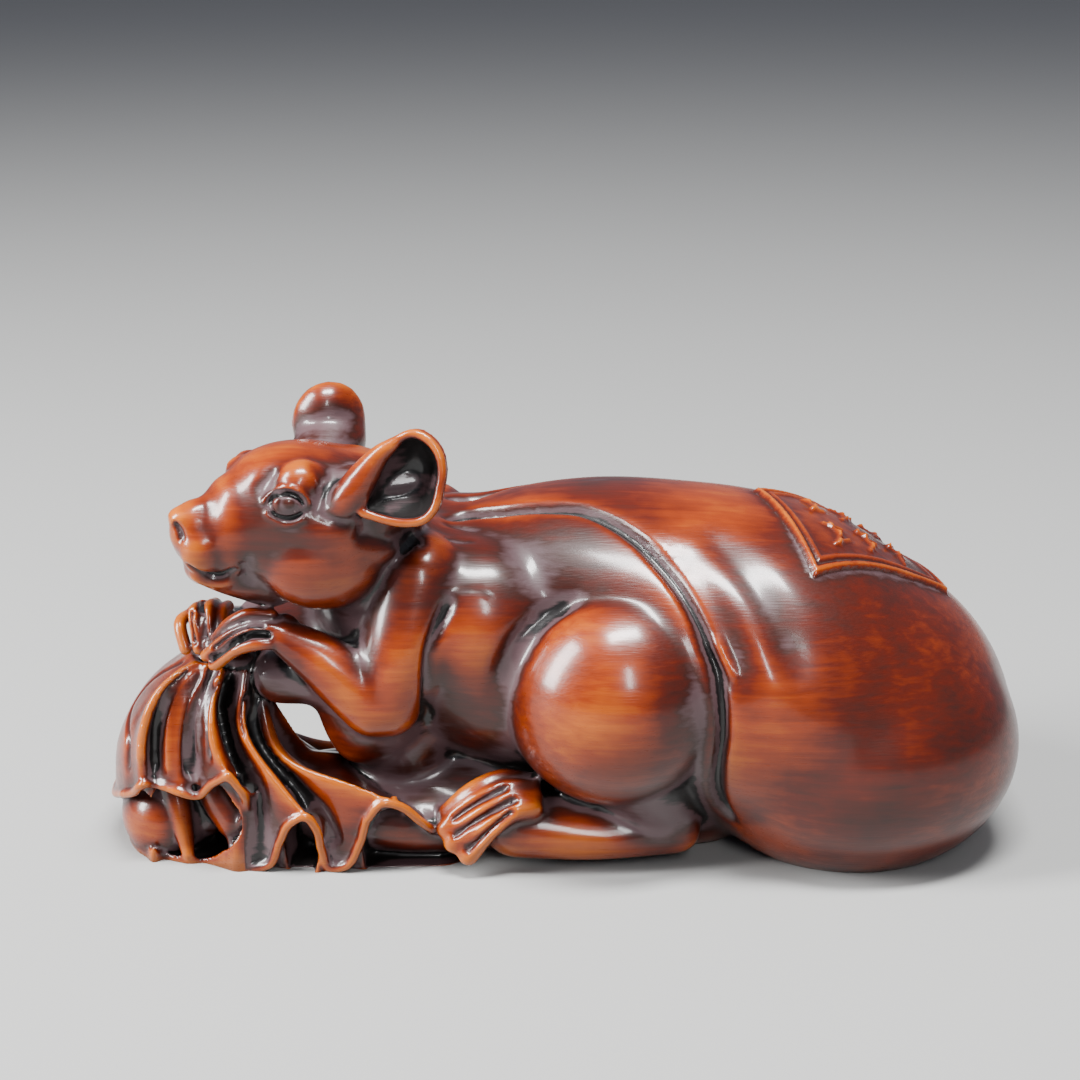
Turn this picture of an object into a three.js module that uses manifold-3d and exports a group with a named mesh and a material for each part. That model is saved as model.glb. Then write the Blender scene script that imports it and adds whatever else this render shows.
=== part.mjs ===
// A boxwood carving of a rat that lies holding the gathered mouth of a full money bag, the bag slung
// over its back. It is one solid, cut from one block. Millimetres, +Z up, +X towards the full end of
// the bag, -Y towards the side with the open patch. The origin is on the flat underside.
import * as THREE from "three";
import { mergeVertices } from "three/addons/utils/BufferGeometryUtils.js";
import Module from "manifold-3d";

const wasm = await Module();
wasm.setup();

// Driving sizes
const bagEnd = 50; // how far the bag reaches along +X
const bagWidth = 46;
const headTurn = 22; // degrees that the head is turned towards -Y
const headRoll = 4; // degrees that its -Y side is lowered
const skull = [-25.5, -9, 38.2]; // centre of the head
const earRadius = 4.6;
const earWall = 1.1;
const fingerRadius = 0.95;
const hemLip = 1.3; // thickness of the cloth at its hem
const grooveRadius = 0.95; // gutter between the bag and the rat
const patchRise = 0.7; // border of the square patch above the bag
const patchField = 0.35; // its middle above the bag
const patchCorners = [
  [21, 2],
  [26, -12.8],
  [42, -1.2],
  [37, 14],
];
const woodColour = 0x9a3d0d;

// Helpers: geometry to solid, balls, and round limbs along a curve
function toSolid(geometry) {
  const bare = geometry.clone();
  bare.deleteAttribute("normal");
  bare.deleteAttribute("uv");
  const merged = mergeVertices(bare, 1e-4);
  const kept = [];
  const corner = merged.index.array;
  for (let i = 0; i < corner.length; i += 3) {
    const [a, b, c] = [corner[i], corner[i + 1], corner[i + 2]];
    if (a !== b && b !== c && c !== a) kept.push(a, b, c);
  }
  return new wasm.Manifold(
    new wasm.Mesh({
      numProp: 3,
      vertProperties: merged.attributes.position.array,
      triVerts: new Uint32Array(kept),
    }),
  );
}

function toGeometry(solid) {
  const mesh = solid.getMesh();
  const geometry = new THREE.BufferGeometry();
  geometry.setAttribute("position", new THREE.BufferAttribute(mesh.vertProperties.slice(), 3));
  geometry.setIndex(new THREE.BufferAttribute(mesh.triVerts.slice(), 1));
  geometry.computeVertexNormals();
  return geometry;
}

const joined = (solids) => solids.reduce((sum, next) => sum.add(next));
const vector = (values) => new THREE.Vector3(...values);

// An ellipsoid. turn is its rotation about X, Y and Z in degrees.
function ball(centre, radii, turn = [0, 0, 0], around = 24) {
  const geometry = new THREE.SphereGeometry(1, around, Math.round(around * 0.6));
  const spin = new THREE.Euler(...turn.map(THREE.MathUtils.degToRad), "XYZ");
  const place = new THREE.Matrix4().compose(
    vector(centre),
    new THREE.Quaternion().setFromEuler(spin),
    vector(radii),
  );
  return toSolid(geometry.applyMatrix4(place));
}

// A round-ended limb. Each station is [x, y, z, half breadth, half depth]; the depth lies along up.
function limb(stations, { around = 14, along = 10, caps = 2, up = [0, 0, 1] } = {}) {
  const spine = new THREE.CatmullRomCurve3(stations.map((s) => vector(s.slice(0, 3))), false, "centripetal");
  const sizeAt = (t, which) => {
    const place = t * (stations.length - 1);
    const i = Math.min(Math.floor(place), stations.length - 2);
    const f = place - i;
    const soft = f * f * (3 - 2 * f);
    return THREE.MathUtils.lerp(stations[i][which], stations[i + 1][which], soft);
  };
  const geometry = new THREE.CapsuleGeometry(1, along, caps, around, along);
  const position = geometry.attributes.position;
  const reference = vector(up);
  for (let i = 0; i < position.count; i++) {
    const [x, y, z] = [position.getX(i), position.getY(i), position.getZ(i)];
    const t = THREE.MathUtils.clamp(y / along + 0.5, 0, 1);
    const past = y - (t - 0.5) * along;
    const tangent = spine.getTangent(t);
    const rise = reference.clone().addScaledVector(tangent, -reference.dot(tangent)).normalize();
    const side = tangent.clone().cross(rise);
    const [breadth, depth] = [sizeAt(t, 3), sizeAt(t, 4)];
    const point = spine
      .getPoint(t)
      .addScaledVector(side, x * breadth)
      .addScaledVector(rise, z * depth)
      .addScaledVector(tangent, (past * (breadth + depth)) / 2);
    position.setXYZ(i, point.x, point.y, point.z);
  }
  return toSolid(geometry);
}

// The bag: a full round end, and a back that narrows over the rat's shoulders to the hands.
// extra makes it that much bigger all round.
function bag(extra = 0) {
  const grown = (stations) =>
    stations.map(([x, y, z, breadth, depth]) => [x, y, z, breadth + extra, depth + extra]);
  const fullEnd = limb(
    grown([
      [bagEnd - 18.6, 6 - bagWidth / 4, 11.8, 14.8, 18.6],
      [bagEnd - 18.6, bagWidth / 4 - 6, 11.8, 14.8, 18.6],
    ]),
    { around: 20, along: 1, caps: 5, up: [1, 0, 0] },
  );
  const back = limb(
    grown([
      [-12, 3, 28.2, 10.5, 8.9],
      [-3, 1, 26.6, 14.5, 12.8],
      [8, 0.5, 23.8, 18.6, 15.7],
      [20, 0, 19.6, 21.5, 18],
      [31, 0, 13.5, 21.5, 17.5],
    ]),
    { around: 20, along: 7, caps: 3 },
  );
  const neck = limb(
    grown([
      [-8, 4, 27, 8.5, 7.5],
      [-18, 8.5, 27.5, 6.5, 6],
      [-27, 8, 25, 4.6, 4.6],
      [-34, 1, 22, 4, 3.6],
    ]),
    { around: 10, along: 7 },
  );
  return joined([fullEnd, back, neck]);
}

// The square patch: a border that stands up from the bag round a lower middle
function patch() {
  const middle = patchCorners.reduce((sum, [x, y]) => [sum[0] + x / 4, sum[1] + y / 4], [0, 0]);
  const prism = (size) => {
    const outline = patchCorners.map(([x, y]) =>
      new THREE.Vector2(middle[0] + (x - middle[0]) * size, middle[1] + (y - middle[1]) * size),
    );
    const geometry = new THREE.ExtrudeGeometry(new THREE.Shape(outline), { depth: 50, bevelEnabled: false });
    return toSolid(geometry.translate(0, 0, 12));
  };
  const inside = prism(0.88);
  return joined([
    bag(patchRise).intersect(prism(1).subtract(inside)),
    bag(patchField).intersect(inside),
  ]);
}

// The rat's trunk, from the neck to the rump, and the block under its belly
function trunk() {
  const chest = limb(
    [
      [-16, -2.5, 24.5, 11.8, 12.2],
      [-8, -1, 22.5, 15, 14],
      [2, 0, 21, 17.2, 15],
      [12, 0, 20, 17.5, 14.5],
    ],
    { around: 18, along: 6, caps: 3 },
  );
  const throat = limb(
    [
      [-24, -8.5, 35, 6.5, 6.5],
      [-16, -3.5, 27.5, 10.3, 9.3],
    ],
    { around: 12, along: 2 },
  );
  const belly = limb(
    [
      [-14, -1, 5, 11, 7.5],
      [14, 0, 6, 12, 8],
    ],
    { around: 12, along: 2 },
  );
  return joined([chest, throat, belly]);
}

// One hind leg, on the -Y side: thigh, foot and four toes
function hindLeg() {
  const thigh = ball([5.2, -11.5, 19.2], [11.8, 12, 12.2], [0, -8, 0], 18);
  const shank = limb(
    [
      [6.5, -12.5, 15, 8.5, 8.5],
      [11.5, -12.6, 5.6, 3.4, 3.4],
    ],
    { around: 12, along: 3, up: [0, 1, 0] },
  );
  const foot = limb(
    [
      [12, -12.6, 4, 3, 2.6],
      [3, -12.8, 4.1, 4, 3],
      [-5, -12, 4.9, 4.8, 3.9],
    ],
    { around: 10, along: 4, up: [0, -0.35, 1] },
  );
  const toeCount = 4;
  const toes = Array.from({ length: toeCount }, (_, i) => {
    const f = i / (toeCount - 1);
    const y = THREE.MathUtils.lerp(-15.2, -9, f);
    return limb(
      [
        [-4, y + 0.4, 6.2, 1.5, 1.7],
        [-8.6, y, 5.4 + f, 1.25, 1.5],
        [-11 - 1.8 * Math.sin(f * 2.6), y + 0.3, 1.9 + 2.6 * f, 1, 1.1],
      ],
      { around: 6, along: 3 },
    );
  });
  return joined([thigh, shank, foot, ...toes]);
}

// One foreleg: upper arm and forearm, from the shoulder to the wrist
function foreLeg() {
  const upperArm = limb(
    [
      [-15.6, -10, 31, 5.6, 6],
      [-17.2, -12.8, 24.5, 4.9, 5],
      [-19, -14, 19.2, 4, 3.9],
    ],
    { around: 12, along: 4, up: [0, 1, 0] },
  );
  const foreArm = limb(
    [
      [-20.3, -14.4, 19, 3.6, 3.6],
      [-25, -14.6, 23.4, 2.9, 3.1],
      [-29.8, -14.2, 26.6, 2.5, 2],
    ],
    { around: 10, along: 4 },
  );
  return joined([upperArm, foreArm]);
}

// The near hand lies along the cloth; its four fingers sweep down and forward
function nearHand() {
  const palm = limb(
    [
      [-29.5, -13.8, 26.8, 2.6, 1.9],
      [-33.5, -12.8, 26.2, 2.8, 1.9],
    ],
    { around: 8, along: 2 },
  );
  const fingers = Array.from({ length: 4 }, (_, i) =>
    limb(
      [
        [-31, -15.2 + 1.1 * i, 25.8 + 0.75 * i, fingerRadius, fingerRadius],
        [-34.6, -15 + 0.7 * i, 24.8 + 0.9 * i, fingerRadius, fingerRadius],
        [-37.3 - 0.5 * i, -13.8 + 0.5 * i, 22.8 + 0.8 * i, fingerRadius * 0.9, fingerRadius * 0.9],
      ],
      { around: 6, along: 3 },
    ),
  );
  return joined([palm, ...fingers]);
}

// The far hand comes over the cloth from behind, its fingers hooked down on the near side
function farHand() {
  const palm = limb(
    [
      [-31, 11, 26, 2.6, 2],
      [-36.5, 3, 27, 3, 2],
      [-39, -3.6, 26.5, 3, 1.6],
    ],
    { around: 8, along: 4 },
  );
  const fingers = Array.from({ length: 3 }, (_, i) =>
    limb(
      [
        [-37.6 - 1.6 * i, -4, 26.8 - 0.4 * i, 1.1, 1.1],
        [-38.2 - 1.6 * i, -8.2, 27 - 0.8 * i, 1, 1],
        [-38.4 - 1.5 * i, -9.8, 23.6 - 0.4 * i, 0.95, 0.95],
      ],
      { around: 6, along: 3 },
    ),
  );
  return joined([palm, ...fingers]);
}

// The head, built facing -X about its own centre, then turned
function head() {
  const cranium = limb(
    [
      [2.4, 0, -0.4, 8.8, 7.6],
      [-2, 0, -0.2, 8.9, 8.4],
      [-7, 0, -0.5, 6.6, 7.2],
      [-11.8, 0, -1.1, 4, 4.9],
      [-14.5, 0, -0.4, 2.6, 3],
    ],
    { around: 16, along: 7, caps: 3 },
  );
  const cheeks = [1, -1].map((s) => ball([-0.8, 4 * s, -2.8], [7.4, 5, 6], [0, 0, 0], 12));
  const brows = [1, -1].map((s) => ball([-4.6, 5.2 * s, 4.6], [3.2, 2.3, 2.5], [0, 0, 0], 10));
  const eyes = [1, -1].map((s) => ball([-6.2, 6 * s, 3], [2.2, 1.6, 1.5], [0, 0, 0], 8));
  const mouth = limb(
    [
      [-15.5, -1.5, -4.3, 0.4, 0.45],
      [-12.2, -3.8, -5.2, 0.5, 0.6],
      [-7.6, -7.4, -4.2, 0.7, 0.6],
    ],
    { around: 6, along: 5, caps: 2 },
  );
  const ears = [ear(), ear().mirror([0, 1, 0])];
  return joined([cranium, ...cheeks, ...brows, ...eyes, ...ears])
    .subtract(mouth)
    .subtract(mouth.mirror([0, 1, 0]))
    .rotate([headRoll, 0, headTurn])
    .translate(skull);
}

// An ear on the -Y side of the head: a cup open outwards and forwards, with a rolled rim
function ear() {
  const centre = [4.6, -10.6, 6.6];
  const shell = ball([0, 0, 0], [earRadius, 4.2, earRadius], [0, 0, 0], 14);
  const hollow = ball([0, -1.5, 0], [earRadius - earWall, 4.4, earRadius - earWall], [0, 0, 0], 12);
  const cutter = toSolid(new THREE.BoxGeometry(20, 10, 20).translate(0, -6.2, 0));
  const rimRing = new THREE.TorusGeometry(earRadius - 0.6, 0.65, 4, 14).rotateX(Math.PI / 2);
  const rim = toSolid(rimRing.translate(0, -1.2, 0));
  const root = limb(
    [
      [-4.2, 5, -3.2, 3, 3],
      [0, 2.2, -0.4, 2.6, 3],
    ],
    { around: 8, along: 2 },
  );
  return joined([shell.subtract(cutter), root, rim])
    .subtract(hollow)
    .rotate([-10, 0, -26])
    .translate(centre);
}

// The gathered mouth of the bag. Ribs run from the hands to the hem, and each is one cross-section:
// down the outside of the cloth, round the lip, in under the fold and down to the ground behind it.
// A rib is [hem x, hem y, hem z, how far its middle swells out, how far the hollow under it goes in].
const ribs = [
  [-14, 12, 3, 0, 1],
  [-22, 12, 5, 0.5, 2],
  [-30, 11, 1, 0, 0.5],
  [-37, 12.4, 6, 1.5, 2],
  [-44, 8, 3, 1, 0.5],
  [-48.8, 2, 8, 2, 2],
  [-49.8, -4, 7, 1.4, 1.5],
  [-49, -9.4, 9.6, 2.2, 3.5],
  [-45.6, -13, 9.4, 2.6, 5],
  [-39.8, -13.4, 8.6, 0.4, 4.5],
  [-36, -15.8, 11, 1.4, 6],
  [-34.4, -15.2, 5, 0.4, 3.5],
  [-32.8, -14.4, 0.2, -0.8, 0.5],
  [-30.4, -15.4, 2.6, 0.2, 1],
  [-28.2, -16.2, 6.6, 1, 4],
  [-26.4, -15.4, 3, 0, 1.5],
  [-24.4, -14.8, 0.2, -1, 0.5],
  [-21.4, -15.6, 4.4, -0.2, 3],
  [-18.4, -15.6, 8, 0.6, 7],
  [-14.8, -15.2, 6.2, 0.2, 5],
  [-12.4, -13.6, 4.6, 0, 3],
];
// Where the ribs start: round the far side, over the top under the hands, and down the near fold.
// Every second rib has a point here.
const collar = [
  [-14, 8, 7],
  [-28.5, 7, 5],
  [-37.6, 3.5, 18.6],
  [-41, -3, 22.3],
  [-39.5, -8.5, 21.8],
  [-36.8, -10.5, 21],
  [-35.2, -11, 20],
  [-33.6, -11.2, 18],
  [-30, -12, 12],
  [-22.5, -13.4, 9.6],
  [-14, -11.6, 8.6],
];

const curve = (points) => new THREE.CatmullRomCurve3(points.map(vector), false, "centripetal");

function between(values, f) {
  const place = f * (values.length - 1);
  const k = Math.min(Math.floor(place), values.length - 2);
  return THREE.MathUtils.lerp(values[k], values[k + 1], place - k);
}

function ribSection(top, hem, swell, inward, { f, heartY }) {
  const near = THREE.MathUtils.smoothstep(f, 0.5, 0.7);
  const left = THREE.MathUtils.smoothstep(f, 0.15, 0.25) * (1 - near);
  const heart = new THREE.Vector3(THREE.MathUtils.clamp(hem.x + 6, -38, -15), heartY, 6.8);
  const out = hem.clone().sub(heart).setZ(0).normalize();
  const middle = top.clone().lerp(hem, 0.5).addScaledVector(out, swell + 0.6);
  middle.x -= 1.6 * near;
  middle.z += THREE.MathUtils.lerp(-0.6, 1.6, left);
  const points = new THREE.CatmullRomCurve3([top, middle, hem]).getPoints(4);
  const lip = hem.clone().addScaledVector(out, -hemLip * 0.6);
  lip.z = Math.max(hem.z - hemLip, -2);
  const roof = hem.clone().addScaledVector(out, -hemLip - inward * 0.6);
  roof.z = Math.max(hem.z - hemLip * 0.6, -2);
  const back = hem.clone().addScaledVector(out, -hemLip - inward);
  back.z = Math.min(hem.z * 0.5, hem.z - hemLip) - 1;
  const foot = back.clone().setZ(-2);
  const ground = heart.clone().setZ(-2);
  const inside = new THREE.Vector3(
    THREE.MathUtils.lerp(top.x, heart.x, 0.25),
    THREE.MathUtils.lerp(top.y, heart.y, 0.25),
    Math.min(top.z - 0.8, 11),
  );
  inside.lerp(new THREE.Vector3(-36, -3, 18), left);
  return [...points, lip, roof, back, foot, ground, heart, inside];
}

function ruffle() {
  const hemCurve = curve(ribs.map((rib) => rib.slice(0, 3)));
  const collarCurve = curve(collar);
  const cloth = (from, to, sections, heartY) =>
    toSolid(
      loft(
        Array.from({ length: sections + 1 }, (_, i) => {
          const f = THREE.MathUtils.lerp(from, to, i / sections);
          const swell = between(ribs.map((rib) => rib[3]), f);
          const inward = between(ribs.map((rib) => rib[4]), f);
          return ribSection(collarCurve.getPoint(f), hemCurve.getPoint(f), swell, inward, { f, heartY });
        }),
      ),
    );
  return joined([cloth(0, 0.3, 6, -3), cloth(0.25, 1, 33, 0.5)]);
}

// A closed skin over rows of points: each row is a closed section, and the two ends are fanned shut
function loft(rows) {
  const [rowCount, size] = [rows.length, rows[0].length];
  const points = rows.flat();
  const centreOf = (row) => row.reduce((sum, p) => sum.add(p), new THREE.Vector3()).divideScalar(size);
  points.push(centreOf(rows[0]), centreOf(rows[rowCount - 1]));
  const faces = [];
  for (let i = 0; i < rowCount - 1; i++) {
    for (let j = 0; j < size; j++) {
      const next = (j + 1) % size;
      const [a, b, c, d] = [i * size + j, i * size + next, (i + 1) * size + next, (i + 1) * size + j];
      faces.push(a, b, c, a, c, d);
    }
  }
  for (let j = 0; j < size; j++) {
    const next = (j + 1) % size;
    const last = (rowCount - 1) * size;
    faces.push(rowCount * size, next, j, rowCount * size + 1, last + j, last + next);
  }
  const geometry = new THREE.BufferGeometry().setFromPoints(points);
  geometry.setIndex(faces);
  return geometry;
}

// What shows of the cloth inside its mouth, low on the left
function innerFolds() {
  return joined([
    ball([-43.4, -6.5, 4], [5.8, 6.6, 5.6], [0, 0, 0], 14),
    limb(
      [
        [-41.6, -10, 8.4, 1.4, 1.4],
        [-40.2, -12.8, 1.6, 1.9, 1.9],
      ],
      { around: 8, along: 3, up: [0, 1, 0] },
    ),
  ]);
}

// The gutter where the bag's edge lies on the rat: a cutter laid on the surface of the body, by
// looking from the middle of the body out through each point of the path
const edgePath = [
  [-14, -3.5, 37],
  [-7, -6.5, 38.4],
  [-0.5, -8, 38.6],
  [5.5, -11.5, 36.8],
  [10.8, -15.5, 32.6],
  [14.6, -19.5, 26.5],
  [15.8, -21, 20],
  [16.2, -20.5, 13],
  [17.6, -19, 7.5],
];

function edgeGutter(body) {
  const skin = new THREE.Mesh(toGeometry(body));
  const looker = new THREE.Raycaster();
  const stations = curve(edgePath).getPoints(16).map((point) => {
    const middle = new THREE.Vector3(point.x, 0, 18);
    const inwards = middle.clone().sub(point).normalize();
    looker.set(middle.addScaledVector(inwards, -100), inwards);
    const onSkin = looker.intersectObject(skin)[0].point;
    return [...onSkin.toArray(), grooveRadius, grooveRadius];
  });
  return limb(stations, { around: 6, along: 16, caps: 1, up: [0.5, -1, 0.3] });
}

function carving() {
  const body = joined([bag(), trunk()]);
  const gutter = edgeGutter(body);
  const near = joined([hindLeg(), foreLeg()]);
  const far = near.mirror([0, 1, 0]);
  const base = toSolid(new THREE.BoxGeometry(140, 100, 20).translate(0, 0, -10));
  const figure = body.subtract(gutter).subtract(gutter.mirror([0, 1, 0]));
  const front = [head(), nearHand(), farHand(), ruffle(), innerFolds()];
  return joined([figure, patch(), near, far, ...front]).subtract(base);
}

const wood = new THREE.MeshStandardMaterial({ color: woodColour, roughness: 0.35, metalness: 0 });
const rat = new THREE.Mesh(toGeometry(carving()), wood);
rat.name = "carved_rat";
const figurine = new THREE.Group();
figurine.add(rat);

export default figurine;
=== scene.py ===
import math
import bpy
import numpy as np
from mathutils import Euler, Matrix, Vector
from mathutils.bvhtree import BVHTree


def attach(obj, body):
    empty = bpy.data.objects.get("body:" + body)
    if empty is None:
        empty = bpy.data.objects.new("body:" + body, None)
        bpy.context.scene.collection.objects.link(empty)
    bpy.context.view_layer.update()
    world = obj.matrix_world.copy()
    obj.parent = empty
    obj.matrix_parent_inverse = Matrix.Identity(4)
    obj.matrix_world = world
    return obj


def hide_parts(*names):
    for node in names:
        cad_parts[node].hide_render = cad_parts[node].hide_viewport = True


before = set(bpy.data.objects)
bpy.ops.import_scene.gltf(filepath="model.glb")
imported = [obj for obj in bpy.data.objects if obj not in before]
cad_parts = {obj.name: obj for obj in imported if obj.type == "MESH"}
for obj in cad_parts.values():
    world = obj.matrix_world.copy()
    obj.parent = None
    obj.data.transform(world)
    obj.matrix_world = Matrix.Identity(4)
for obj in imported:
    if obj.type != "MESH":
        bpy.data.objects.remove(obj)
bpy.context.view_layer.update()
bpy.ops.object.select_all(action="DESELECT")
print("frame loaded")

# Everything is shaped in millimetres and brought to metres at the end
carving = {
    "bodyVoxel": 0.6,
    "trunkVoxel": 0.5,
    "limbVoxel": 0.4,
    "headVoxel": 0.36,
    "joinVoxel": 0.34,
    "earVoxel": 0.3,
    "finalVoxel": 0.24,
    "armSoftening": 8,
    "legSoftening": 4,
    "triangles": 190000,
}
# The camera's view, in which outlines and strokes are measured: its eye, how far it is tipped up from
# straight down, its lens and sensor, and the side of its square picture in pixels
view = {"eye": (-2.7, -245.8, 105.6), "pitch": 73.5, "lens": 77.67, "sensor": 36, "picture": 1080}


# Small tools
def readSpots(piece):
    spots = np.empty(len(piece.data.vertices) * 3)
    piece.data.vertices.foreach_get("co", spots)
    return spots.reshape(-1, 3)


def writeSpots(piece, spots):
    piece.data.vertices.foreach_set("co", np.ascontiguousarray(spots, float).ravel())
    piece.data.update()


def pick(piece):                       # the only thing selected
    bpy.ops.object.select_all(action="DESELECT")
    piece.select_set(True)
    bpy.context.view_layer.objects.active = piece


def applied(piece, kind, **values):    # adds a modifier and applies it
    pick(piece)
    modifier = piece.modifiers.new(kind, kind)
    for key, value in values.items():
        setattr(modifier, key, value)
    bpy.ops.object.modifier_apply(modifier=modifier.name)
    return piece


def fused(pieces, voxel, soft, name):  # one skin round all the pieces, its creases softened
    bpy.ops.object.select_all(action="DESELECT")
    for piece in pieces:
        piece.select_set(True)
    bpy.context.view_layer.objects.active = pieces[0]
    bpy.ops.object.join()
    whole = bpy.context.object
    whole.name = name
    applied(whole, "REMESH", mode="VOXEL", voxel_size=voxel)
    if soft:
        applied(whole, "SMOOTH", factor=0.5, iterations=soft)
    return whole


def softened(piece, centre, reach, rounds):   # eases the creases near one place, less further out
    spots = readSpots(piece)
    away = np.linalg.norm(spots - np.array(centre, float), axis=1)
    full = 0.4
    weight = np.clip(1 + full - away / reach, 0, 1)
    group = piece.vertex_groups.new(name="soft")
    levels = 10
    for level in range(1, levels + 1):
        chosen = np.flatnonzero(np.ceil(weight * levels) == level)
        group.add(chosen.tolist(), level / levels, "REPLACE")
    applied(piece, "SMOOTH", factor=0.5, iterations=rounds, vertex_group="soft")
    piece.vertex_groups.clear()


def smoothPath(points, where):         # places and directions along a smooth curve through points
    points = np.asarray(points, float)
    where = np.atleast_1d(where)
    steps = np.maximum(np.linalg.norm(np.diff(points[:, :3], axis=0), axis=1), 1e-6)[:, None]
    slopes = np.diff(points, axis=0) / steps
    inner = (slopes[1:] * steps[:-1] + slopes[:-1] * steps[1:]) / (steps[1:] + steps[:-1])
    slopes = np.vstack([slopes[:1], inner, slopes[-1:]])
    place = np.clip(where * (len(points) - 1), 0, len(points) - 1 - 1e-9)
    k = place.astype(int)
    f = (place - k)[:, None]
    a, b = points[k], points[k + 1]
    ma, mb = slopes[k] * steps[k], slopes[k + 1] * steps[k]
    spots = (2 * f**3 - 3 * f**2 + 1) * a + (f**3 - 2 * f**2 + f) * ma
    spots += (3 * f**2 - 2 * f**3) * b + (f**3 - f**2) * mb
    ways = (6 * f**2 - 6 * f) * (a - b) + (3 * f**2 - 4 * f + 1) * ma + (3 * f**2 - 2 * f) * mb
    return spots, ways


def unit(vectors):
    return vectors / np.maximum(np.linalg.norm(vectors, axis=-1, keepdims=True), 1e-9)


def sightLine(across, down):           # the way from the eye through a place in the picture
    focal = view["lens"] / view["sensor"] * view["picture"]
    middle = view["picture"] / 2
    turn = Euler((math.radians(view["pitch"]), 0, 0), "XYZ").to_matrix()
    return (turn @ Vector((across - middle, middle - down, -focal))).normalized()


def metPlane(place, centre, normal):   # where that line meets a plane
    eye, way, normal = Vector(view["eye"]), sightLine(*place), Vector(normal)
    return eye + way * ((Vector(centre) - eye).dot(normal) / way.dot(normal))


def tenths(spot):                      # to a tenth of a millimetre
    return tuple(round(value, 1) for value in spot)


def facedOut(piece):                   # turns all its faces outwards
    pick(piece)
    bpy.ops.object.mode_set(mode="EDIT")
    bpy.ops.mesh.select_all(action="SELECT")
    bpy.ops.mesh.normals_make_consistent(inside=False)
    bpy.ops.object.mode_set(mode="OBJECT")
    return piece


def meshPiece(name, spots, faces):
    mesh = bpy.data.meshes.new(name)
    mesh.from_pydata(spots.tolist(), [], faces)
    piece = bpy.data.objects.new(name, mesh)
    bpy.context.collection.objects.link(piece)
    return facedOut(piece)


def limb(stations, up=(0, 0, 1), around=32, along=24, caps=8):   # station: x, y, z, breadth, depth
    rings = along + 2 * caps
    bpy.ops.mesh.primitive_uv_sphere_add(segments=around, ring_count=rings, radius=1)
    piece = bpy.context.object
    spots = readSpots(piece)
    ring = (1 - np.arccos(np.clip(spots[:, 2], -1, 1)) / math.pi) * rings
    past = np.clip(ring - caps - along, 0, caps) - np.clip(caps - ring, 0, caps)
    turn = past / caps * math.pi / 2
    girth = np.cos(turn)[:, None]
    flat = unit(spots[:, :2])
    path, ways = smoothPath(stations, np.clip((ring - caps) / along, 0, 1))
    way = unit(ways[:, :3])
    rise = unit(np.asarray(up, float) - way * (way @ np.asarray(up, float))[:, None])
    side = np.cross(way, rise)
    breadth, depth = path[:, 3:4], path[:, 4:5]
    spots = path[:, :3] + side * flat[:, :1] * girth * breadth + rise * flat[:, 1:] * girth * depth
    spots += way * np.sin(turn)[:, None] * (breadth + depth) / 2
    writeSpots(piece, spots)
    return facedOut(piece)


def ball(centre, radii, turn=(0, 0, 0), around=48):
    spin = [math.radians(angle) for angle in turn]
    bpy.ops.mesh.primitive_uv_sphere_add(
        segments=around, ring_count=around // 2, radius=1, location=centre, rotation=spin, scale=radii
    )
    bpy.ops.object.transform_apply(location=True, rotation=True, scale=True)
    return bpy.context.object


def mirrorCopy(piece):                 # the same piece on the other side
    pick(piece)
    bpy.ops.object.duplicate()
    twin = bpy.context.object
    spots = readSpots(twin)
    spots[:, 1] *= -1
    writeSpots(twin, spots)
    bpy.ops.object.mode_set(mode="EDIT")
    bpy.ops.mesh.select_all(action="SELECT")
    bpy.ops.mesh.flip_normals()
    bpy.ops.object.mode_set(mode="OBJECT")
    return twin


def skinOver(rows, name):              # a closed skin over rows of points, its two ends fanned shut
    rows = np.asarray(rows, float)
    count, size = rows.shape[:2]
    spots = np.vstack([rows.reshape(-1, 3), rows[0].mean(0), rows[-1].mean(0)])
    faces = []
    for i in range(count - 1):
        for j in range(size):
            n = (j + 1) % size
            faces.append((i * size + j, i * size + n, (i + 1) * size + n, (i + 1) * size + j))
    last = (count - 1) * size
    for j in range(size):
        n = (j + 1) % size
        faces.append((count * size, n, j))
        faces.append((count * size + 1, last + j, last + n))
    return meshPiece(name, spots, faces)


def placed(piece, matrix):
    spots = readSpots(piece)
    turn = np.array(matrix.to_3x3())
    writeSpots(piece, spots @ turn.T + np.array(matrix.translation))
    return piece


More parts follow.
